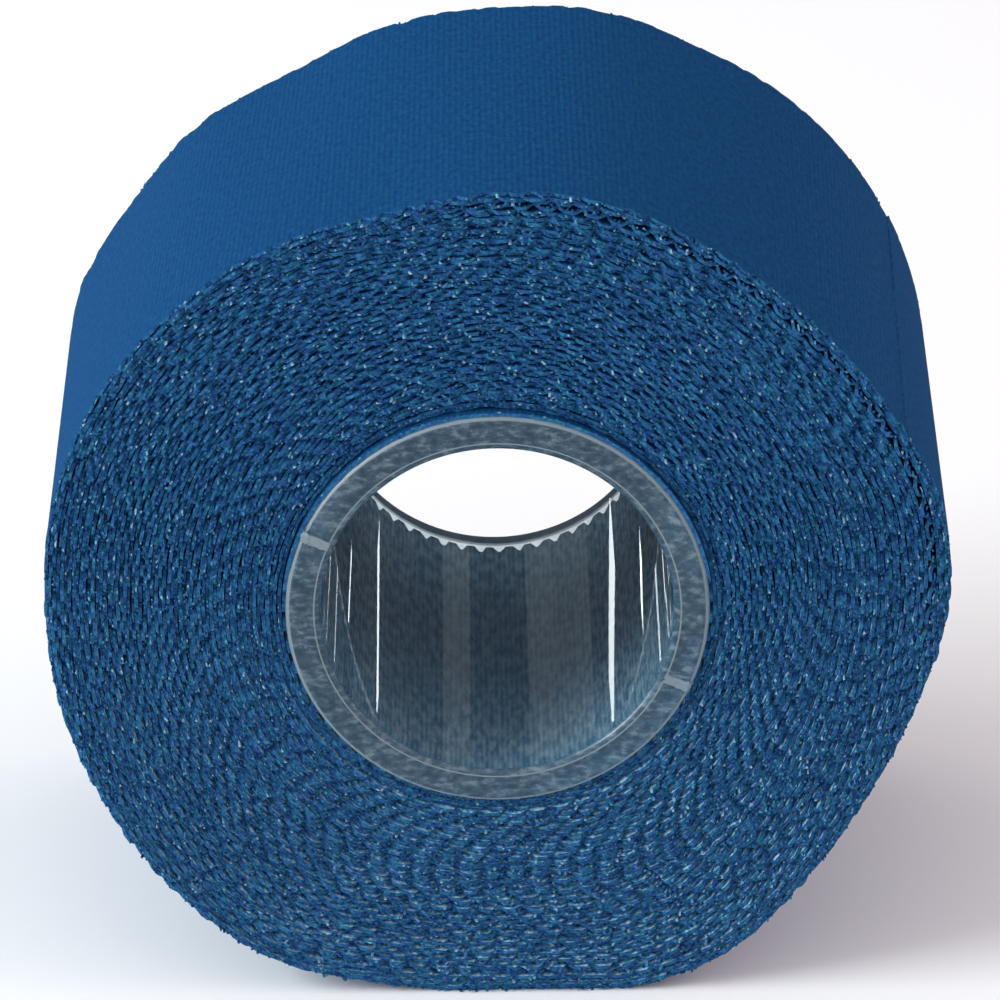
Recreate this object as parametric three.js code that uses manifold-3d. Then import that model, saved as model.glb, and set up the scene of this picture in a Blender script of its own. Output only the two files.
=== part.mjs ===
// Athletic tape roll: cotton tape with pinked edges, wound on a clear plastic tube and lying on its
// curved side. Units are millimetres and +Z is up. The roll's axis runs along Y, and the end that
// faces -Y is the one where the tube stands proud of the tape.

import * as THREE from 'three';
import { LoftGeometry } from 'three/addons/geometries/LoftGeometry.js';
import { mergeVertices } from 'three/addons/utils/BufferGeometryUtils.js';
import Module from 'manifold-3d';

const wasm = await Module();
wasm.setup();

const tube = {
  bore: 24, // inner diameter
  outside: 28.9, // outer diameter
  length: 39,
  chamfer: 0.45,
  sides: 96,
};
const seamMark = {
  angle: 156, // degrees, with a second mark straight across from it
  width: 1.1,
  proud: 0.25,
  rooted: 0.6, // how deep it runs into the tube
  overhang: 0.12, // how far it stands out past the tube's outside
};
const tape = {
  width: 38,
  setBack: 0.5, // from the tube's front end to the tooth tips
  toothPitch: 1.6475,
  toothDepth: 0.9,
  layer: 0.26, // one turn of cloth and adhesive
  cutEnd: 26, // degrees, where the outer turn stops
};
const clearance = 0.3; // between the tube and the first turn
const flatDrop = 29.6; // from the roll's axis down to the flat spot that it rests on

// The roll's outline, every 15 degrees from +X towards +Z: the radius at its front and back ends.
const outline = [
  { angle: -180, front: 30.82, back: 31.31 },
  { angle: -165, front: 30.91, back: 30.96 },
  { angle: -150, front: 30.98, back: 30.88 },
  { angle: -135, front: 31.24, back: 31.24 },
  { angle: -120, front: 31.31, back: 31.31 },
  { angle: -105, front: 30.05, back: 30.05 },
  { angle: -90, front: 29.84, back: 29.84 },
  { angle: -75, front: 30.73, back: 30.73 },
  { angle: -60, front: 31.11, back: 31.11 },
  { angle: -45, front: 29.95, back: 29.95 },
  { angle: -30, front: 29.36, back: 29.88 },
  { angle: -15, front: 29.67, back: 30.72 },
  { angle: 0, front: 30.66, back: 31.60 },
  { angle: 15, front: 30.98, back: 31.90 },
  { angle: 30, front: 30.21, back: 31.87 },
  { angle: 45, front: 29.87, back: 31.44 },
  { angle: 60, front: 29.95, back: 30.77 },
  { angle: 75, front: 30.46, back: 30.67 },
  { angle: 90, front: 30.36, back: 29.93 },
  { angle: 105, front: 29.89, back: 29.57 },
  { angle: 120, front: 30.51, back: 28.99 },
  { angle: 135, front: 30.87, back: 29.95 },
  { angle: 150, front: 31.15, back: 30.34 },
  { angle: 165, front: 31.10, back: 31.38 },
];

// The rings that the wound tape's surface runs through: from the bore out over the back end, along
// the outside and in over the front end. Share is 0 at the bore and 1 at the outside.
const rings = [
  { end: 'back', share: 0, pinked: false, gap: false },
  { end: 'back', share: 0.955, pinked: false, gap: false },
  { end: 'back', share: 0.965, pinked: true, gap: false },
  { end: 'back', share: 1, pinked: true, gap: false },
  { end: 'front', share: 1, pinked: true, gap: false },
  { end: 'front', share: 0.965, pinked: true, gap: false },
  { end: 'front', share: 0.955, pinked: false, gap: false },
  { end: 'front', share: 0.945, pinked: false, gap: true },
  { end: 'front', share: 0.935, pinked: false, gap: false },
  { end: 'front', share: 0, pinked: false, gap: false },
];

// The outer turns stand a little off the ones below them at the roll's upper right.
const looseTurns = { middle: 40, reach: 65, depth: 0.8 };

const radians = THREE.MathUtils.degToRad;
const boreRadius = tube.outside / 2 + clearance;
const faceSetBack = tape.toothDepth / 2;

// A smooth curve through the outline's rows, at any angle in degrees.
function outlineRadius(angle, end) {
  const step = 360 / outline.length;
  const place = THREE.MathUtils.euclideanModulo(angle - outline[0].angle, 360) / step;
  const row = Math.floor(place);
  const t = place - row;
  const [a, b, c, d] = [-1, 0, 1, 2].map((k) => {
    const index = THREE.MathUtils.euclideanModulo(row + k, outline.length);
    return outline[index][end];
  });
  const rise = (c - a) / 2;
  const fall = (d - b) / 2;
  const bend = 2 * (b - c) + rise + fall;
  return b + t * (rise + t * (3 * (c - b) - 2 * rise - fall + t * bend));
}

// The outer turn's radius: it climbs by one layer on its way round to the cut end, and it is cut
// off level where the roll lies on its flat spot.
function outerTurnRadius(angle, end) {
  const wayRound = THREE.MathUtils.euclideanModulo(angle - tape.cutEnd, 360) / 360;
  const radius = outlineRadius(angle, end) + tape.layer * (wayRound - 0.5);
  const drop = -Math.sin(radians(angle));
  return drop * radius > flatDrop ? flatDrop / drop : radius;
}

function ringPoints(ring, toothCount) {
  const columns = 2 * toothCount;
  const outward = ring.end === 'front' ? -1 : 1;
  const frontTips = -tube.length / 2 + tape.setBack;
  const tips = ring.end === 'front' ? frontTips : frontTips + tape.width;
  const points = [];
  for (let column = 0; column < columns; column++) {
    const angle = tape.cutEnd + (360 * column) / columns;
    const outer = outerTurnRadius(angle, ring.end);
    const radius = THREE.MathUtils.lerp(boreRadius, outer, ring.share);
    let behindTips = faceSetBack;
    if (ring.pinked) {
      behindTips = column % 2 === 0 ? 0 : tape.toothDepth;
    }
    if (ring.gap) {
      const away = Math.abs(THREE.MathUtils.euclideanModulo(angle - looseTurns.middle + 180, 360) - 180);
      behindTips += looseTurns.depth * THREE.MathUtils.smoothstep(looseTurns.reach - away, 0, looseTurns.reach / 2);
    }
    points.push(new THREE.Vector3(
      radius * Math.cos(radians(angle)),
      tips - outward * behindTips,
      radius * Math.sin(radians(angle)),
    ));
  }
  return points;
}

function woundTapeGeometry() {
  const mean = outline.reduce((sum, row) => sum + row.front, 0) / outline.length;
  const toothCount = Math.round((2 * Math.PI * mean) / tape.toothPitch);
  const sections = rings.map((ring) => ringPoints(ring, toothCount));
  return welded(new LoftGeometry([...sections, sections[0]]));
}

function tubeWallGeometry() {
  const inner = tube.bore / 2;
  const outer = tube.outside / 2;
  const half = tube.length / 2;
  const profile = [
    [inner, -half + tube.chamfer],
    [inner + tube.chamfer, -half],
    [outer - tube.chamfer, -half],
    [outer, -half + tube.chamfer],
    [outer, half - tube.chamfer],
    [outer - tube.chamfer, half],
    [inner + tube.chamfer, half],
    [inner, half - tube.chamfer],
  ].map(([radius, y]) => new THREE.Vector2(radius, y));
  return welded(new THREE.LatheGeometry([...profile, profile[0]], tube.sides));
}

// One of the two marks that the mould's parting line leaves on the tube's front rim.
function seamMarkGeometry(angle) {
  const start = tube.bore / 2 + tube.chamfer;
  const stop = tube.outside / 2 + seamMark.overhang;
  const height = seamMark.proud + seamMark.rooted;
  const mark = new THREE.BoxGeometry(stop - start, height, seamMark.width);
  mark.translate((start + stop) / 2, -tube.length / 2 - seamMark.proud + height / 2, 0);
  mark.rotateY(-radians(angle));
  return welded(mark);
}

function coreTubeGeometry() {
  const marks = [seamMark.angle, seamMark.angle - 180];
  let body = solidOf(tubeWallGeometry());
  for (const angle of marks) {
    body = body.add(solidOf(seamMarkGeometry(angle)));
  }
  return geometryOf(body);
}

function welded(geometry) {
  const plain = new THREE.BufferGeometry().copy(geometry);
  plain.deleteAttribute('normal');
  plain.deleteAttribute('uv');
  return mergeVertices(plain);
}

function solidOf(geometry) {
  return new wasm.Manifold(new wasm.Mesh({
    numProp: 3,
    vertProperties: geometry.attributes.position.array,
    triVerts: Uint32Array.from(geometry.index.array),
  }));
}

function geometryOf(solid) {
  const mesh = solid.getMesh();
  const geometry = new THREE.BufferGeometry();
  geometry.setAttribute('position', new THREE.BufferAttribute(mesh.vertProperties, mesh.numProp));
  geometry.setIndex(new THREE.BufferAttribute(mesh.triVerts, 1));
  return geometry;
}

function piece(name, geometry, material) {
  geometry.computeVertexNormals();
  const mesh = new THREE.Mesh(geometry, material);
  mesh.name = name;
  return mesh;
}

const cottonCloth = new THREE.MeshStandardMaterial({ color: 0x1f4f86, roughness: 0.9, metalness: 0 });
const clearPlastic = new THREE.MeshStandardMaterial({
  color: 0xa9b4b8,
  roughness: 0.15,
  metalness: 0,
  transparent: true,
  opacity: 0.4,
});

const tapeRoll = new THREE.Group();
tapeRoll.add(piece('core_tube', coreTubeGeometry(), clearPlastic));
tapeRoll.add(piece('wound_tape', woundTapeGeometry(), cottonCloth));

// The origin is below the middle of the roll, on the surface that it lies on.
const extent = new THREE.Box3().setFromObject(tapeRoll, true);
const middle = extent.getCenter(new THREE.Vector3());
tapeRoll.position.set(-middle.x, -middle.y, -extent.min.z);

export default tapeRoll;
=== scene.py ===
import math

import bmesh
import bpy
import numpy as np
from mathutils import Matrix, Quaternion, Vector


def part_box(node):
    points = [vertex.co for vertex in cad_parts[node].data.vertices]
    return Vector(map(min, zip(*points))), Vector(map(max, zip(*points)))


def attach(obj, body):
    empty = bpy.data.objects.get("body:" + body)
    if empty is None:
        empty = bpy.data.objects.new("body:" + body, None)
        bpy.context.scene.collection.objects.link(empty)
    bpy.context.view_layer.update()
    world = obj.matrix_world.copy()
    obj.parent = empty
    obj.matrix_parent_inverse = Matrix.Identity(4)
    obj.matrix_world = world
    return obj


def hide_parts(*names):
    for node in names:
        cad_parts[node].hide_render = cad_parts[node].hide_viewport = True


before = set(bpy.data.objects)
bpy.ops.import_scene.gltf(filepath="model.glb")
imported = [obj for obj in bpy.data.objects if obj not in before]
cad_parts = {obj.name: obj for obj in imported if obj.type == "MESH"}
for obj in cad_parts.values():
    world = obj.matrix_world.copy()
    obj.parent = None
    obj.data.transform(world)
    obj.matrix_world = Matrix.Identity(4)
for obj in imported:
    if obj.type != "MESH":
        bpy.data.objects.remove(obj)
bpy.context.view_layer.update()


# The core is a tube of clear polystyrene, injection moulded, with a wall of about 2.5 mm and softly
# rounded rims. The tape is wound straight onto the core, which stands 0.5 mm proud at either end.
MM = 0.001
core_low, core_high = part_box("core_tube")
core_wall = 2.45 * MM
core_rim_round = 0.45 * MM
core_sides = 256
mark_height = 0.25 * MM
core_radius = (core_high.x - core_low.x) / 2
axis_x = (core_low.x + core_high.x) / 2
axis_z = (core_low.z + core_high.z) / 2
front_rim = core_low.y + mark_height
back_rim = core_high.y


def linear(hex_colour):
    """A colour given as sRGB hex, such as "#1f4f86", as linear RGBA."""
    shares = [int(hex_colour[k:k + 2], 16) / 255 for k in (1, 3, 5)]
    return [s / 12.92 if s <= 0.04045 else ((s + 0.055) / 1.055) ** 2.4 for s in shares] + [1.0]


def add_node(tree, kind, settings=None, links=None):
    """Adds one node. Settings go to its properties or to its sockets, and links join its inputs."""
    node = tree.nodes.new(kind)
    for name, value in (settings or {}).items():
        if isinstance(name, str) and hasattr(node, name):
            setattr(node, name, value)
        else:
            node.inputs[name].default_value = value
    for name, source in (links or {}).items():
        tree.links.new(source, node.inputs[name])
    return node


def new_material(name):
    """An empty node material, and its tree."""
    material = bpy.data.materials.new(name)
    material.use_nodes = True
    material.node_tree.nodes.clear()
    return material, material.node_tree


def add_ramp(tree, source, stops):
    """A colour ramp over its stops, each a place from 0 to 1 and a colour, from the lowest upwards."""
    ramp = add_node(tree, "ShaderNodeValToRGB", {}, {0: source})
    elements = ramp.color_ramp.elements
    elements.remove(elements[1])
    elements[0].position = stops[0][0]
    elements[0].color = linear(stops[0][1])
    for position, colour in stops[1:]:
        elements.new(position).color = linear(colour)
    return ramp.outputs[0]


def select_by(piece, part, test):
    """In edit mode, selects the faces or edges of the piece that pass the test, and nothing else."""
    bpy.ops.mesh.select_all(action="DESELECT")
    bpy.ops.mesh.select_mode(type="FACE" if part == "faces" else "EDGE")
    mesh = bmesh.from_edit_mesh(piece.data)
    for item in getattr(mesh, part):
        if test(item):
            item.select_set(True)
    mesh.select_flush_mode()
    bmesh.update_edit_mesh(piece.data)


def from_axis(point):
    """How far a point is from the roll's axis."""
    return math.hypot(point.x - axis_x, point.z - axis_z)


def round_axis(point):
    """A point's angle round the roll's axis, in degrees from +X towards +Z."""
    return math.degrees(math.atan2(point.z - axis_z, point.x - axis_x))


# Clear polystyrene: polished by the mould along its walls, with faint flow lines along the tube.
clear_styrene, tree = new_material("clear_moulded_styrene")
place = add_node(tree, "ShaderNodeTexCoord")
along = add_node(tree, "ShaderNodeMapping", {"Scale": (1, 0.06, 1)}, {"Vector": place.outputs["Object"]})
flow = add_node(
    tree, "ShaderNodeTexNoise", {"Scale": 1 / (1.2 * MM), "Detail": 3}, {"Vector": along.outputs[0]})
flow_bump = add_node(
    tree, "ShaderNodeBump", {"Strength": 0.03, "Distance": 0.03 * MM}, {"Height": flow.outputs[0]})
cloudiness = add_ramp(tree, flow.outputs[0], [(0.35, "#cfe2ea"), (0.65, "#e9f4f8")])
styrene = add_node(
    tree, "ShaderNodeBsdfPrincipled", {"Roughness": 0.02, "IOR": 1.59, "Transmission Weight": 0.97},
    {"Base Color": cloudiness, "Normal": flow_bump.outputs[0]})
add_node(tree, "ShaderNodeOutputMaterial", {}, {"Surface": styrene.outputs[0]})

# The rims froze last in the mould: they are hazy and mottled, with blotches wider than they are tall.
hazy_styrene, tree = new_material("hazy_styrene_rim")
place = add_node(tree, "ShaderNodeTexCoord")
wide = add_node(tree, "ShaderNodeMapping", {"Scale": (1, 1, 1.8)}, {"Vector": place.outputs["Object"]})
blotches = add_node(
    tree, "ShaderNodeTexNoise", {"Scale": 1 / (0.8 * MM), "Detail": 4, "Roughness": 0.65},
    {"Vector": wide.outputs[0]})
haze = add_ramp(tree, blotches.outputs[0], [(0.38, "#375d74"), (0.52, "#577c93"), (0.68, "#a8bdc8")])
haze_bump = add_node(
    tree, "ShaderNodeBump", {"Strength": 0.3, "Distance": 0.05 * MM}, {"Height": blotches.outputs[0]})
hazy = add_node(
    tree, "ShaderNodeBsdfPrincipled", {"Roughness": 0.3, "IOR": 1.59, "Transmission Weight": 0.7},
    {"Base Color": haze, "Normal": haze_bump.outputs[0]})
add_node(tree, "ShaderNodeOutputMaterial", {}, {"Surface": hazy.outputs[0]})

# Where the parting line was trimmed, the polystyrene is pale with scuffs. Along the rims' corners, the
# same pale colour is a painted highlight standing in for the light the rounded corners catch.
scuffed_styrene, tree = new_material("scuffed_styrene")
scuff_and_highlight_bsdf = add_node(
    tree, "ShaderNodeBsdfPrincipled",
    {"Base Color": linear("#a9bcc4"), "Roughness": 0.45, "IOR": 1.59, "Transmission Weight": 0.6})
add_node(tree, "ShaderNodeOutputMaterial", {}, {"Surface": scuff_and_highlight_bsdf.outputs[0]})

bpy.ops.object.select_all(action="DESELECT")
bpy.ops.mesh.primitive_cylinder_add(
    vertices=core_sides,
    radius=core_radius,
    depth=back_rim - front_rim,
    location=(axis_x, (front_rim + back_rim) / 2, axis_z),
    rotation=(math.radians(90), 0, 0),
)
core = bpy.context.object
core.name = "clear_core_tube"
bpy.ops.object.transform_apply(location=True, rotation=True, scale=True)
bpy.ops.object.mode_set(mode="EDIT")
select_by(core, "faces", lambda face: abs(face.normal.y) > 0.9)
bpy.ops.mesh.inset(thickness=core_wall)
bpy.ops.mesh.bridge_edge_loops()
same_place = 0.01 * MM


def on_rim_circle(edge):
    """Whether an edge runs round one of the rims' corners."""
    first, second = (vertex.co for vertex in edge.verts)
    at_end = min(abs(first.y - front_rim), abs(first.y - back_rim)) < same_place
    level = abs(first.y - second.y) < same_place
    return at_end and level and abs(from_axis(first) - from_axis(second)) < same_place


select_by(core, "edges", on_rim_circle)
bpy.ops.mesh.bevel(offset=core_rim_round, segments=4, affect="EDGES")

# Loops beside the rounding keep the long walls true and end the hazy side of the rims. On each flat
# rim, a narrow ring bounds the corner band painted pale as a highlight, and a broad one gives the parting
# line its points.
rim_side = 1.4 * MM
rim_rings = (0.1 * MM, 0.4 * MM)
for loop_y in (front_rim + rim_side, back_rim - rim_side):
    bpy.ops.mesh.select_all(action="SELECT")
    bpy.ops.mesh.bisect(plane_co=(0, loop_y, 0), plane_no=(0, 1, 0))
select_by(core, "faces", lambda face: abs(face.normal.y) > 0.999)
for ring in rim_rings:
    bpy.ops.mesh.inset(thickness=ring)

# The mould's parting line left a low, ragged ridge across the front rim on either side, from the inner
# corner out over the outer rounding. Angles are in degrees.
mark_angle = 156
mark_spread = 1.1
mark_raggedness = 0.09 * MM


def past_inner_round(point):
    """How far out from the inner rounding a point of a rim lies."""
    return from_axis(point) - (core_radius - core_wall + core_rim_round)


def on_mark(face):
    """Whether a face of the front rim is where the parting line runs."""
    centre = face.calc_center_median()
    turn = (round_axis(centre) - mark_angle + 90) % 180 - 90
    on_front_rim = centre.y < front_rim + core_rim_round and past_inner_round(centre) > 0
    return on_front_rim and abs(turn) < mark_spread


select_by(core, "faces", on_mark)
bpy.ops.mesh.subdivide(number_cuts=1)
bpy.ops.transform.vertex_random(offset=mark_raggedness, seed=4)
bpy.ops.mesh.extrude_region_move(TRANSFORM_OT_translate={"value": (0, -0.8 * mark_height, 0)})
bpy.ops.object.mode_set(mode="OBJECT")
for material in (clear_styrene, hazy_styrene, scuffed_styrene):
    core.data.materials.append(material)

# The marks are pale with scuffs, the rims' corners get the same pale colour as a painted highlight, and
# the rims and the tube's proud side are hazy
corner_band = 0.12 * MM
for face in core.data.polygons:
    centre = face.center
    on_ridge = centre.y < front_rim - mark_height / 5
    at_rim = min(centre.y - front_rim, back_rim - centre.y) < 2 * corner_band
    # The outer and inner corner bands take the pale material as a painted highlight, not as wear
    on_outer_corner = at_rim and from_axis(centre) > core_radius - 2 * corner_band
    on_inner_corner = at_rim and 0 < past_inner_round(centre) < corner_band
    scuff_or_painted_highlight = on_ridge or on_outer_corner or on_inner_corner
    on_proud_side = centre.y < front_rim + rim_side and from_axis(centre) > core_radius - corner_band
    face.material_index = 2 if scuff_or_painted_highlight else int(at_rim or on_proud_side)
bpy.ops.object.shade_smooth_by_angle(angle=math.radians(35))
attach(core, "root")
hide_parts("core_tube")


# The tape is plain-woven cotton, 38 mm wide, dyed blue, with an adhesive spread on its inner side.
# Both edges are pinked, and it is wound edge on edge in 61 turns, so each face of the roll is a
# field of tooth tips.
tape_width = 38 * MM
tape_thick = 0.235 * MM
tooth_pitch = 1.6475 * MM
tooth_depth = 0.9 * MM
turns = 61.1
cut_end_angle = 26
tape_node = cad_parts["wound_tape"]
front_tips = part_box("wound_tape")[0].y
back_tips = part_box("wound_tape")[1].y

# The first turn is stuck to the tube, with its adhesive a hair inside the wall, so no air gap shows
stuck_in = 0.012 * MM
first_radius = core_radius + tape_thick - stuck_in


def solid_outline(low_y, high_y):
    """The wound solid's outer radius against the angle, for the end of it between two places on Y."""
    same_angle = 0.5
    places = sorted(
        (round_axis(v.co), from_axis(v.co)) for v in tape_node.data.vertices if low_y < v.co.y < high_y)
    outline = []
    for angle, radius in places:
        if outline and angle - outline[-1][0] < same_angle:
            outline[-1][1] = max(outline[-1][1], radius)
        else:
            outline.append([angle, radius])
    return np.array(outline)


front_outline = solid_outline(front_tips - MM, front_tips + 2 * MM)
back_outline = solid_outline(back_tips - 2 * MM, back_tips + MM)

# The last few turns stand off the ones below them at the roll's upper right, over 65 degrees on either
# side of the gap's middle. The turns below make room for it, by less and less towards the tube.
slack_turns = 4.4
slack_gap = 0.3 * MM
slack_middle = 40
slack_reach = 65


def slack_at(degrees):
    """How far the outer turns stand off the ones below them at an angle round the roll."""
    away = np.abs((degrees - slack_middle + 180) % 360 - 180)
    nearness = np.clip(2 * (1 - away / slack_reach), 0, 1)
    return slack_gap * nearness ** 2 * (3 - 2 * nearness)


# The solid's outline falls by one layer over the last 1.6 degrees before the cut end. The tape keeps
# its radius up to the cut end, which is pressed down over the last sixteenth of a turn.
outline_fall = 1.6
end_pressed = 0.18 * MM
end_reach = 1 / 16

# The first turns hug the tube and climb onto the next layer all at once, in a hundredth of a turn.
# Further out the tape rises more and more evenly.
climb_reach = 0.01


def wound_radius(turn, across):
    """The radius at a count of turns from the start. Across is 0 at the front edge and 1 at the back."""
    degrees = cut_end_angle + 360 * (turn - turns)
    past_cut_end = (degrees - cut_end_angle) % 360
    outline_place = cut_end_angle + np.minimum(past_cut_end, 360 - outline_fall)
    front = np.interp(outline_place, *front_outline.T, period=360)
    back = np.interp(outline_place, *back_outline.T, period=360)
    outer_turn = front + (back - front) * across
    to_go = 1 - past_cut_end / 360
    layer = (outer_turn - first_radius) / (turns - to_go)
    outside = outer_turn + layer * to_go
    climb = np.clip((turn % 1 - (1 - climb_reach)) / climb_reach, 0, 1)
    hugging = (turn % 1 - climb) * np.exp(-np.floor(turn) / 2)
    below_slack = np.where(turn < turns - slack_turns, turn / (turns - slack_turns), 0)
    at_cut_end = np.clip(1 - (turns - turn) / end_reach, 0, 1)
    radius = first_radius + (outside - first_radius) * turn / turns - layer * hugging
    return radius - slack_at(degrees) * below_slack - end_pressed * at_cut_end


# How much tape has been wound at each count of turns
step_count = 40000
turn_steps = np.linspace(0, turns, step_count)
step_angles = np.radians(cut_end_angle + 360 * (turn_steps - turns))
step_radii = wound_radius(turn_steps, 0)
step_places = np.array([step_radii * np.cos(step_angles), step_radii * np.sin(step_angles)])
step_lengths = np.linalg.norm(np.diff(step_places), axis=0)
wound_lengths = np.concatenate([[0], np.cumsum(step_lengths)])
tape_length = wound_lengths[-1]

# Each turn takes a whole number of teeth and a part of one, so its tips lie a little past those of the
# turn below: by 0.6 of a tooth at the tube, and by a little less with each turn.
whole_turns = np.arange(math.ceil(turns) + 1)
lengths_there = np.interp(whole_turns, turn_steps, wound_lengths)
part_tooth = 0.6 - 0.016 * whole_turns[:-2]
teeth_a_turn = np.round(np.diff(lengths_there[:-1]) / tooth_pitch - part_tooth) + part_tooth
teeth_there = np.concatenate([[0], np.cumsum(teeth_a_turn)])
teeth_there = np.append(teeth_there, teeth_there[-1] + (tape_length - lengths_there[-2]) / tooth_pitch)
teeth_wound = np.interp(wound_lengths, lengths_there, teeth_there)
tooth_count = math.floor(teeth_wound[-1])

# One tooth as the pinking wheel cuts it, from a blunt tip to a narrower root, in shares of its length
# and depth
corner_places = np.array([-0.19, 0.19, 0.44, 0.56])
corner_depths = np.array([0, 0, 1, 1])

# The tape was pulled a little tighter here and slacker there, so the teeth slip past each other, by
# more of a tooth the further out they are. Both ends of the tape stay in place.
rng = np.random.default_rng(11)
slip_every = 15
least_slip = 0.08
most_slip = 0.22
slip_places = np.arange(0, tooth_count + 2 * slip_every, slip_every)
slip_sizes = np.linspace(least_slip, most_slip, len(slip_places))
slips = rng.normal(0, 1, len(slip_places)) * slip_sizes
slips[0] = 0
slips[-3:] = 0


def turn_and_side(tooth):
    """The count of turns at a tooth, and how far above or below the axis it lies, from 1 to -1."""
    turn = np.interp(tooth, teeth_wound, turn_steps)
    return turn, np.sin(np.radians(cut_end_angle + 360 * (turn - turns)))


# The tube holds the first turn flat, so its teeth show their full depth, and the others are drawn in
# by the winding. Handling wore those of the outer turns beneath the roll and at its back.
drawn_in = 0.52
worn_beneath = 0.7
left_at_back = 0.3


def tooth_depth_at(tooth, at_back):
    """How deep the teeth are at a place along the tape, on its front or its back edge."""
    turn, above = turn_and_side(tooth)
    beneath = np.clip(-above, 0, 1) ** 2 * np.clip(5 - (turns - turn), 0, 1)
    left_there = np.where(at_back, np.interp(turns - turn, [2, 4], [left_at_back, 1]), 1)
    return tooth_depth * np.where(turn < 1, 1, drawn_in) * (1 - worn_beneath * beneath) * left_there


# The next three turns were blunted against the tube's rim. Above the tube the first turn was pressed
# even, and out past the others' tips.
blunted_by = 0.3 * MM
pressed_out = 0.35 * MM


def edge_at(tooth, deep):
    """How far either edge lies inside the tips' line."""
    turn, above = turn_and_side(tooth)
    blunted = blunted_by * np.interp(turn, [0.95, 1.05, 3, 4.5], [0, 1, 1, 0])
    pressed_even = np.clip(4 * above, 0, 1) * (turn < 1)
    return np.maximum(deep, blunted) * (1 - pressed_even) - pressed_out * pressed_even


def on_the_roll(tooth, across, lift):
    """Where a point of the tape lies once wound, from its tooth, its place across and its lift."""
    slipped = tooth + np.interp(tooth, slip_places, slips)
    just_short = 1e-6
    turn = np.minimum(np.interp(slipped, teeth_wound, turn_steps), turns - just_short)
    radius = wound_radius(turn, across / tape_width) + lift * np.clip(turn - 1, 0, 1)
    angle = np.radians(cut_end_angle + 360 * (turn - turns))

    # The turns past the first wandered a little to the front and the back as they were wound
    drift = 0.10 * MM * np.sin(2.3 * turn) + 0.07 * MM * np.sin(5.9 * turn + 1)
    drift = drift * np.clip(turn - 1, 0, 1)
    return np.stack([
        axis_x + radius * np.cos(angle),
        front_tips + across + drift,
        np.maximum(axis_z + radius * np.sin(angle), 0),
    ], axis=-1)


def vertex_places(mesh):
    """Where a mesh's vertices lie, one row to each."""
    places = np.empty(len(mesh.vertices) * 3)
    mesh.vertices.foreach_get("co", places)
    return places.reshape(-1, 3)


def map_vertices(mesh, name, values):
    """Gives a mesh a UV map from a pair of values at each of its vertices."""
    corner_vertex = np.empty(len(mesh.loops), int)
    mesh.loops.foreach_get("vertex_index", corner_vertex)
    mesh.uv_layers.new(name=name).data.foreach_set("uv", values[corner_vertex].ravel())


# The first 60 teeth, a little more than a turn, are pressed on the tube and hardly frayed
pressed_teeth = 60
pressed_fray = 0.2


def wind_strip(name, first_tooth, last_tooth, across_rows, materials):
    """A length of the tape between two teeth: cut flat, pinked, wound up and given its thickness."""
    corners = len(corner_places)
    columns = (last_tooth - first_tooth) * corners
    bpy.ops.object.select_all(action="DESELECT")
    bpy.ops.mesh.primitive_grid_add(
        x_subdivisions=columns, y_subdivisions=len(across_rows) - 1, size=1, calc_uvs=False)
    strip = bpy.context.object
    strip.name = name
    mesh = strip.data
    grid = vertex_places(mesh)
    column = np.rint((grid[:, 0] + 0.5) * columns).astype(int)
    row = np.rint((grid[:, 1] + 0.5) * (len(across_rows) - 1)).astype(int)

    # Flat on the cutting table
    corner = column % corners
    tooth = column // corners
    along = np.clip(first_tooth + tooth + corner_places[corner], 0, tooth_count)
    at_front = row == 0
    at_back = row == len(across_rows) - 1
    deep = corner_depths[corner] * tooth_depth_at(along, at_back)
    across = np.array(across_rows)[row] * tape_width
    across = across + edge_at(along, deep) * (at_front.astype(int) - at_back)

    # Each tip and root is a little long or short, and bent, and the tips droop into the slack
    at_edge = at_front | at_back
    is_tip = (deep == 0) & at_edge
    side = at_back.astype(int)
    tip_bend = rng.normal(0, 0.045 * MM, (2, tooth.max() + 2))
    tip_reach = rng.normal(0, 0.13 * MM, (2, tooth.max() + 2))
    root_reach = rng.normal(0, 0.08 * MM, len(across))
    reach = np.where(is_tip, abs(tip_reach[side, tooth]), root_reach)
    reach = reach * np.where(along < pressed_teeth, pressed_fray, 1)
    across = across + at_edge * np.where(at_back, -1, 1) * reach
    along = along + at_edge * rng.normal(0, 0.035, len(along))
    along = np.clip(along, 0, tooth_count)
    turn, above = turn_and_side(along)
    over_slack = (turn > turns - slack_turns) & (turn < turns - slack_turns + 1)
    droop = over_slack * slack_at(cut_end_angle + 360 * (turn - turns))
    lift = is_tip * (np.clip(tip_bend[side, tooth], -0.08 * MM, 0.08 * MM) - droop)

    # The cut end curls up and down a little, over less than half a tooth
    at_cut_end = along > tooth_count - 0.3
    lift = lift + at_cut_end * rng.uniform(-0.04, 0.06, len(along)) * MM

    # Wound on the tube
    mesh.vertices.foreach_set("co", on_the_roll(along, across, lift).ravel())
    map_vertices(mesh, "cloth", np.stack([along * tooth_pitch, across], axis=1))
    bpy.ops.object.mode_set(mode="EDIT")
    bpy.ops.mesh.select_all(action="SELECT")
    bpy.ops.mesh.flip_normals()
    bpy.ops.object.mode_set(mode="OBJECT")
    for material in materials:
        mesh.materials.append(material)
    bpy.ops.object.modifier_add(type="SOLIDIFY")
    thicken = strip.modifiers[-1]
    thicken.thickness = tape_thick
    thicken.offset = -1
    thicken.material_offset = 1
    thicken.material_offset_rim = 2
    bpy.ops.object.modifier_apply(modifier=thicken.name)
    bpy.ops.object.shade_smooth_by_angle(angle=math.radians(40))
    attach(strip, "root")
    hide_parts("wound_tape")


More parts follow.
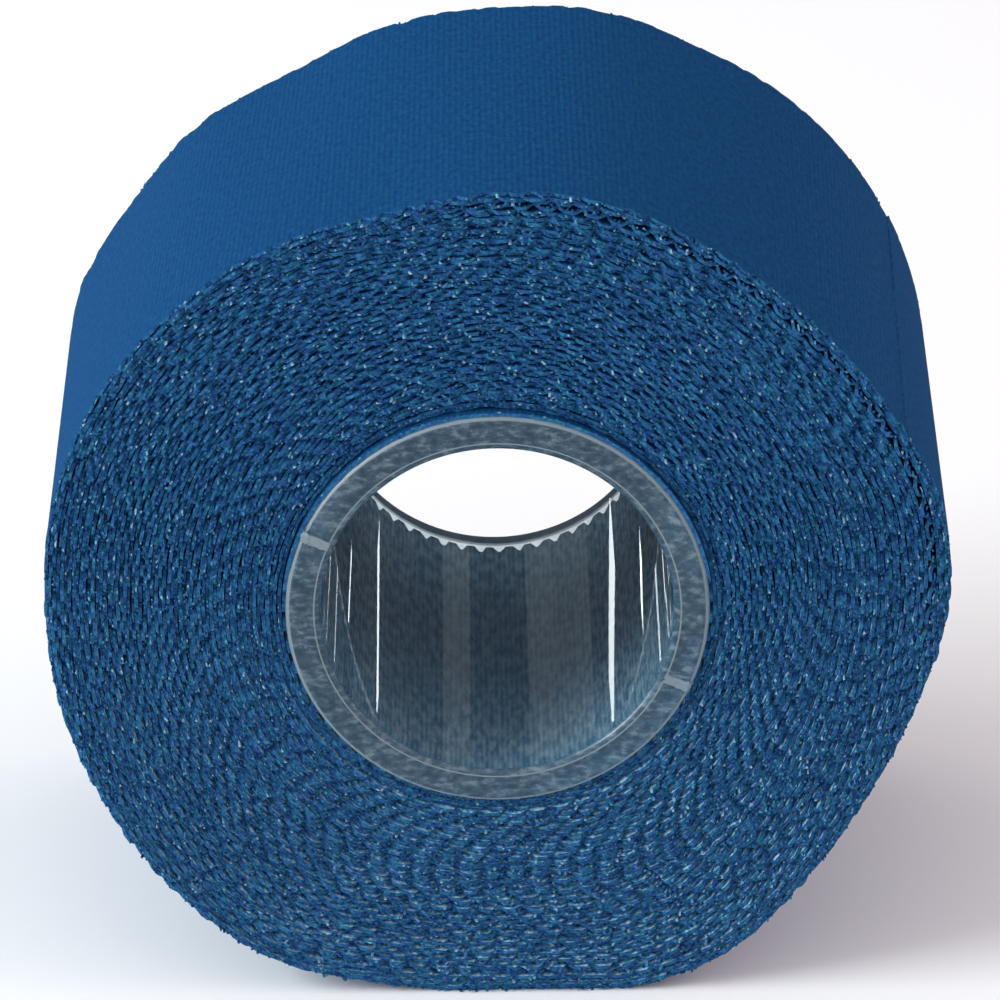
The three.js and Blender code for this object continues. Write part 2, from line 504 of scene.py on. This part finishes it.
def unevenly_dyed(tree, place, blotch, colour, least, most):
    """Turns a colour's hue in blotches, to teal below 0.5 and violet above, as dye takes on cotton."""
    uneven = add_node(tree, "ShaderNodeTexNoise", {"Scale": 1 / blotch, "Detail": 2}, {"Vector": place})
    turned = add_node(
        tree, "ShaderNodeMapRange", {"From Min": 0.36, "From Max": 0.64, "To Min": least, "To Max": most},
        {"Value": uneven.outputs[0]})
    tinted = add_node(tree, "ShaderNodeHueSaturation", {}, {"Hue": turned.outputs[0], "Color": colour})
    return tinted.outputs[0]


def wave_along(tree, place, pitch):
    """A wave along one way of the cloth, which comes round once in each pitch."""
    phase = add_node(
        tree, "ShaderNodeMath", {"operation": "MULTIPLY", 1: 2 * math.pi / pitch}, {0: place})
    return add_node(tree, "ShaderNodeMath", {"operation": "COSINE"}, {0: phase.outputs[0]}).outputs[0]


# Dyed cotton, plain woven: matte, with ribs across the tape where the thick weft threads lie. The
# threads cross over and under by turns, so the weave comes round in two threads either way.
dyed_cotton, tree = new_material("dyed_woven_cotton")
weft_pitch = 0.42 * MM
warp_pitch = 0.30 * MM
cloth = add_node(tree, "ShaderNodeUVMap", {"uv_map": "cloth"})
split = add_node(tree, "ShaderNodeSeparateXYZ", {}, {"Vector": cloth.outputs[0]})
weft_rib = wave_along(tree, split.outputs["X"], weft_pitch)
weft_turn = wave_along(tree, split.outputs["X"], 2 * weft_pitch)
warp_turn = wave_along(tree, split.outputs["Y"], 2 * warp_pitch)
crossing = add_node(tree, "ShaderNodeMath", {"operation": "MULTIPLY"}, {0: weft_turn, 1: warp_turn})
weave = add_node(
    tree, "ShaderNodeMath", {"operation": "MULTIPLY_ADD", 1: 0.6}, {0: crossing.outputs[0], 2: weft_rib})
fuzz = add_node(
    tree, "ShaderNodeTexNoise", {"Scale": 1 / (0.25 * MM), "Detail": 4}, {"Vector": cloth.outputs[0]})
relief = add_node(
    tree, "ShaderNodeMath", {"operation": "MULTIPLY_ADD", 1: 2.5},
    {0: fuzz.outputs[0], 2: weave.outputs[0]})
weave_bump = add_node(
    tree, "ShaderNodeBump", {"Strength": 0.35, "Distance": 0.04 * MM}, {"Height": relief.outputs[0]})
slub = add_node(
    tree, "ShaderNodeMapping", {"Scale": (1 / (0.3 * MM), 1 / (0.8 * MM), 1)},
    {"Vector": cloth.outputs[0]})
slubs = add_node(
    tree, "ShaderNodeTexNoise", {"Scale": 1, "Detail": 5, "Roughness": 0.65}, {"Vector": slub.outputs[0]})
blues = add_ramp(tree, slubs.outputs[0], [(0.34, "#0b3d69"), (0.5, "#0e4573"), (0.68, "#1c4a7e")])
dyed = unevenly_dyed(tree, cloth.outputs[0], 0.6 * MM, blues, 0.492, 0.507)
cotton = add_node(
    tree, "ShaderNodeBsdfPrincipled", {"Roughness": 0.9, "Specular IOR Level": 0.06},
    {"Base Color": dyed, "Normal": weave_bump.outputs[0]})
add_node(tree, "ShaderNodeOutputMaterial", {}, {"Surface": cotton.outputs[0]})

# The adhesive side: a thin, patchy spread of rubbery adhesive over the cloth's ribs, which makes the
# blue paler and greyer.
adhesive_side, tree = new_material("adhesive_on_cotton")
cloth = add_node(tree, "ShaderNodeUVMap", {"uv_map": "cloth"})
spread = add_node(
    tree, "ShaderNodeMapping", {"Scale": (1 / (0.5 * MM), 1 / (1.6 * MM), 1)},
    {"Vector": cloth.outputs[0]})
patches = add_node(tree, "ShaderNodeTexNoise", {"Scale": 1, "Detail": 4}, {"Vector": spread.outputs[0]})
split = add_node(tree, "ShaderNodeSeparateXYZ", {}, {"Vector": cloth.outputs[0]})
rib = wave_along(tree, split.outputs["X"], weft_pitch)
ribbed = add_node(
    tree, "ShaderNodeMath", {"operation": "MULTIPLY_ADD", 1: 0.05}, {0: rib, 2: patches.outputs[0]})
greys = add_ramp(tree, ribbed.outputs[0], [(0.38, "#4a95bb"), (0.66, "#c4e6f4")])
dyed = unevenly_dyed(tree, cloth.outputs[0], 0.7 * MM, greys, 0.488, 0.51)
adhesive = add_node(
    tree, "ShaderNodeBsdfPrincipled", {"Roughness": 0.6, "Specular IOR Level": 0.2}, {"Base Color": dyed})
add_node(tree, "ShaderNodeOutputMaterial", {}, {"Surface": adhesive.outputs[0]})

# The cut edge: the ends of the cotton threads, paler than the dyed face and rough with fibre ends.
cut_edge, tree = new_material("cut_cotton_edge")
place = add_node(tree, "ShaderNodeTexCoord")
fibres = add_node(
    tree, "ShaderNodeTexNoise", {"Scale": 1 / (0.3 * MM), "Detail": 4, "Roughness": 0.7},
    {"Vector": place.outputs["Object"]})
tints = add_ramp(
    tree, fibres.outputs[0],
    [(0.36, "#17406f"), (0.5, "#255b8b"), (0.64, "#32709a"), (0.76, "#769fb3")])
fibre_bump = add_node(
    tree, "ShaderNodeBump", {"Strength": 0.7, "Distance": 0.06 * MM}, {"Height": fibres.outputs[0]})
dyed = unevenly_dyed(tree, place.outputs["Object"], 0.5 * MM, tints, 0.482, 0.514)
edge = add_node(
    tree, "ShaderNodeBsdfPrincipled", {"Roughness": 0.9, "Specular IOR Level": 0.1},
    {"Base Color": dyed, "Normal": fibre_bump.outputs[0]})
add_node(tree, "ShaderNodeOutputMaterial", {}, {"Surface": edge.outputs[0]})

# Only the outermost turns show the cloth's face, so the others have no rows across the tape
shown_turns = 2.5
outer_start = round(np.interp(turns - shown_turns, turn_steps, teeth_wound))
tape_sides = [dyed_cotton, adhesive_side, cut_edge]
wind_strip("wound_turns", 0, outer_start, [0, 1], tape_sides)
outer_rows = [0, 0.045, 0.1, 0.2, 0.3, 0.4, 0.5, 0.6, 0.7, 0.8, 0.9, 0.955, 1]
wind_strip("outer_turns", outer_start, tooth_count, outer_rows, tape_sides)


# Where the wheel cut the weft threads, their ends stand out of the tooth's edge as short blunt stubs,
# four to a tooth. Each is spun cotton, dyed on its outside.
threads_a_tooth = 4
thread_width = 0.24 * MM
thread_height = 0.15 * MM
thread_rooted = 0.2 * MM

# Cut thread: matte, most ends as blue as the cloth, and a few pale where the undyed heart shows.
thread_cotton, tree = new_material("cut_cotton_thread")
thread = add_node(tree, "ShaderNodeUVMap", {"uv_map": "thread"})
split = add_node(tree, "ShaderNodeSeparateXYZ", {}, {"Vector": thread.outputs[0]})
dye = add_ramp(
    tree, split.outputs["X"],
    [(0, "#1f4b79"), (0.35, "#255787"), (0.7, "#2f6a95"), (0.9, "#4783a5"), (0.98, "#87aec1")])
place = add_node(tree, "ShaderNodeTexCoord")
dyed = unevenly_dyed(tree, place.outputs["Object"], 0.5 * MM, dye, 0.48, 0.525)
thread_end = add_node(
    tree, "ShaderNodeBsdfPrincipled", {"Roughness": 0.9, "Specular IOR Level": 0.1}, {"Base Color": dyed})
add_node(tree, "ShaderNodeOutputMaterial", {}, {"Surface": thread_end.outputs[0]})


def lay_thread_ends(name, at_front):
    """The cut weft ends along one edge of the tape: one stub, repeated, and each put in its place."""
    count = tooth_count * threads_a_tooth
    bpy.ops.object.select_all(action="DESELECT")
    bpy.ops.mesh.primitive_cylinder_add(vertices=3, radius=0.5, depth=1, calc_uvs=False)
    stubs = bpy.context.object
    stubs.name = name
    bpy.ops.object.modifier_add(type="ARRAY")
    repeat = stubs.modifiers[-1]
    repeat.count = count
    repeat.use_relative_offset = False
    repeat.use_constant_offset = True
    repeat.constant_offset_displace = (2, 0, 0)
    bpy.ops.object.modifier_apply(modifier=repeat.name)
    mesh = stubs.data
    stub = vertex_places(mesh)
    thread = np.rint(stub[:, 0] / 2).astype(int)
    sideways = stub[:, 0] - 2 * thread
    outward = stub[:, 2] + 0.5

    # Each end's own place, the depth of the edge there, and its length, thickness and lean
    in_tooth = (np.arange(count) % threads_a_tooth + 0.5) / threads_a_tooth - 0.5
    in_tooth = in_tooth + rng.normal(0, 0.03, count)
    tooth = np.arange(count) // threads_a_tooth + in_tooth
    places_round_tip = np.append(corner_places[2:] - 1, corner_places)
    depths_round_tip = np.append(corner_depths[2:], corner_depths)
    deep = np.interp(in_tooth, places_round_tip, depths_round_tip) * tooth_depth_at(tooth, not at_front)
    deep = edge_at(tooth, deep)
    reach = np.clip(rng.normal(0.14, 0.14, count), 0, 0.5) * MM
    reach = reach * np.where(tooth < pressed_teeth, pressed_fray, 1)
    if not at_front:
        reach = reach * np.where(tooth > outer_start, left_at_back, 1)
    girth = rng.uniform(0.75, 1.15, count)
    lean_along = rng.normal(0, 0.12, count) * MM / tooth_pitch
    lean_up = rng.normal(0, 0.07, count) * MM
    rest = -tape_thick / 2 + rng.normal(0, 0.03, count) * MM

    # The stub's own shape, set on the tape's edge. The turn above holds the stubs down.
    from_tips = deep[thread] + thread_rooted - outward * (thread_rooted + reach)[thread]
    across = from_tips if at_front else tape_width - from_tips
    aside = sideways * (thread_width * girth)[thread] / tooth_pitch
    along = tooth[thread] + aside + outward * lean_along[thread]
    lift = rest[thread] + stub[:, 1] * (thread_height * girth)[thread] + outward * lean_up[thread]
    lift = np.minimum(lift, 0.03 * MM)
    along = np.clip(along, 0, tooth_count)
    mesh.vertices.foreach_set("co", on_the_roll(along, across, lift).ravel())

    shade = rng.uniform(0, 1, count)
    map_vertices(mesh, "thread", np.stack([shade[thread], outward], axis=1))
    mesh.materials.append(thread_cotton)
    bpy.ops.object.mode_set(mode="EDIT")
    bpy.ops.mesh.select_all(action="SELECT")
    bpy.ops.mesh.normals_make_consistent(inside=False)
    bpy.ops.object.mode_set(mode="OBJECT")
    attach(stubs, "root")
    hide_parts("wound_tape")


lay_thread_ends("front_thread_ends", at_front=True)
lay_thread_ends("back_thread_ends", at_front=False)


# The table that the roll rests on: a plain pale floor under soft light from the upper left, seen from
# above the roll's axis with a long lens.
pale_floor, tree = new_material("pale_floor")
floor_paint = add_node(
    tree, "ShaderNodeBsdfPrincipled", {"Base Color": linear("#fcfcfb"), "Roughness": 0.9})
add_node(tree, "ShaderNodeOutputMaterial", {}, {"Surface": floor_paint.outputs[0]})
bpy.ops.mesh.primitive_plane_add(size=6, location=(0, 0, 0))
floor = bpy.context.object
floor.name = "floor"
floor.data.materials.append(pale_floor)
floor.visible_glossy = False

# The studio is bright in front of the roll and dim behind it, where the bore mirrors it
straight_behind = (0, 0.996, 0.087)
world = bpy.data.worlds.new("studio")
world.use_nodes = True
world.node_tree.nodes.clear()
tree = world.node_tree
place = add_node(tree, "ShaderNodeTexCoord")
behind = add_node(
    tree, "ShaderNodeVectorMath", {"operation": "DOT_PRODUCT", 1: straight_behind},
    {0: place.outputs["Generated"]})
studio = add_node(
    tree, "ShaderNodeMapRange",
    {"interpolation_type": "SMOOTHSTEP",
     "From Min": 0.5, "From Max": 0.8, "To Min": 0.87, "To Max": 0.11},
    {"Value": behind.outputs["Value"]})
split = add_node(tree, "ShaderNodeSeparateXYZ", {}, {"Vector": place.outputs["Generated"]})
lower_half = add_node(
    tree, "ShaderNodeMapRange", {"From Min": -0.2, "From Max": 0, "To Min": 0.5, "To Max": 1},
    {"Value": split.outputs["Z"]})
strength = add_node(
    tree, "ShaderNodeMath", {"operation": "MULTIPLY"}, {0: studio.outputs[0], 1: lower_half.outputs[0]})
sky = add_node(
    tree, "ShaderNodeBackground", {"Color": linear("#f3f0f3")}, {"Strength": strength.outputs[0]})
add_node(tree, "ShaderNodeOutputWorld", {}, {"Surface": sky.outputs[0]})
bpy.context.scene.world = world


def add_softbox(name, place, aim, size, power, colour="#e9f5f8"):
    """An oblong soft light at a place, turned to aim at a point."""
    light = bpy.data.lights.new(name, "AREA")
    light.shape = "RECTANGLE"
    light.size, light.size_y = size
    light.energy = power
    light.color = linear(colour)[:3]
    lamp = bpy.data.objects.new(name, light)
    bpy.context.scene.collection.objects.link(lamp)
    lamp.location = place
    lamp.rotation_mode = "QUATERNION"
    lamp.rotation_quaternion = (Vector(aim) - Vector(place)).to_track_quat("-Z", "Y")
    lamp.visible_camera = False
    return lamp


roll_middle = (0, 0, axis_z)
add_softbox("key", (-0.75, -0.25, 0.45), roll_middle, (0.5, 0.5), 8)
add_softbox("fill", (0.8, -0.1, 0.5), roll_middle, (0.5, 0.5), 1.5, "#ffced2")


def behind_roll(turned, raised, distance):
    """A place behind the roll's middle, at a turn to the right and a height above it in degrees."""
    turned, raised = math.radians(turned), math.radians(raised)
    return Vector((
        distance * math.sin(turned) * math.cos(raised),
        distance * math.cos(turned) * math.cos(raised),
        axis_z + distance * math.sin(raised),
    ))


def add_strip_lamp(name, start, end, thickness, radiance):
    """A long lamp 2.5 m behind the roll, between two directions in degrees to the right and up."""
    distance = 2.5
    first, last = behind_roll(*start, distance), behind_roll(*end, distance)
    middle = (first + last) / 2
    size = ((last - first).length, 2 * distance * math.tan(math.radians(thickness / 2)))
    power = radiance * math.pi * size[0] * size[1]
    lamp = add_softbox(name, middle, roll_middle, size, power)
    outward = (middle - Vector(roll_middle)).normalized()
    lengthways = (last - first).normalized()
    axes = Matrix((lengthways, outward.cross(lengthways), outward)).transposed()
    lamp.rotation_quaternion = axes.to_quaternion()


# The bore mirrors what stands behind the roll: two thin lamps on either side, and dim panels above
# them. The floor is left out of reflections, so the low lamps may stand beneath it.
strip_lamps = [
    {"name": "right_strip", "start": (24.2, 0.35), "end": (26.1, 1.7), "thickness": 0.6, "radiance": 5},
    {"name": "left_strip", "start": (-24.2, 0.5), "end": (-25.8, 4.95), "thickness": 0.9, "radiance": 4.5},
    {"name": "low_right_strip", "start": (22, -11), "end": (22.7, -11.7), "thickness": 0.4, "radiance": 5},
    {"name": "low_left_strip", "start": (-22, -11), "end": (-23.5, -9.7), "thickness": 0.4, "radiance": 5},
    {"name": "right_panel", "start": (8.5, 24.1), "end": (15.9, 20.1), "thickness": 6, "radiance": 0.2},
    {"name": "left_panel", "start": (-9.4, 23.7), "end": (-16.3, 19.4), "thickness": 6, "radiance": 0.2},
    {"name": "side_panel", "start": (-16.3, 19.4), "end": (-23.2, 9.9), "thickness": 6, "radiance": 0.15},
]
for lamp in strip_lamps:
    add_strip_lamp(**lamp)

# The camera stands 408 mm from the core's front rim, 25.2 degrees above the axis.
camera_distance = 408.1 * MM
camera_rise = math.radians(25.247)
camera_turn = math.radians(-0.2365)
camera_roll = math.radians(0.417)
rim_middle = Vector((axis_x, front_rim, axis_z))
camera_data = bpy.data.cameras.new("camera")
camera_data.lens = 216.1
camera_data.sensor_width = 36
camera = bpy.data.objects.new("camera", camera_data)
bpy.context.scene.collection.objects.link(camera)
camera.location = rim_middle + camera_distance * Vector((
    math.sin(camera_turn) * math.cos(camera_rise),
    -math.cos(camera_turn) * math.cos(camera_rise),
    math.sin(camera_rise),
))
looks_at = rim_middle + Vector((0.22 * MM, 0, 8.36 * MM))
look = (looks_at - camera.location).normalized()
level = look.to_track_quat("-Z", "Y")
camera.rotation_mode = "QUATERNION"
camera.rotation_quaternion = level @ Quaternion((0, 0, 1), -camera_roll)
bpy.context.scene.camera = camera
bpy.context.scene.view_settings.view_transform = "Standard"
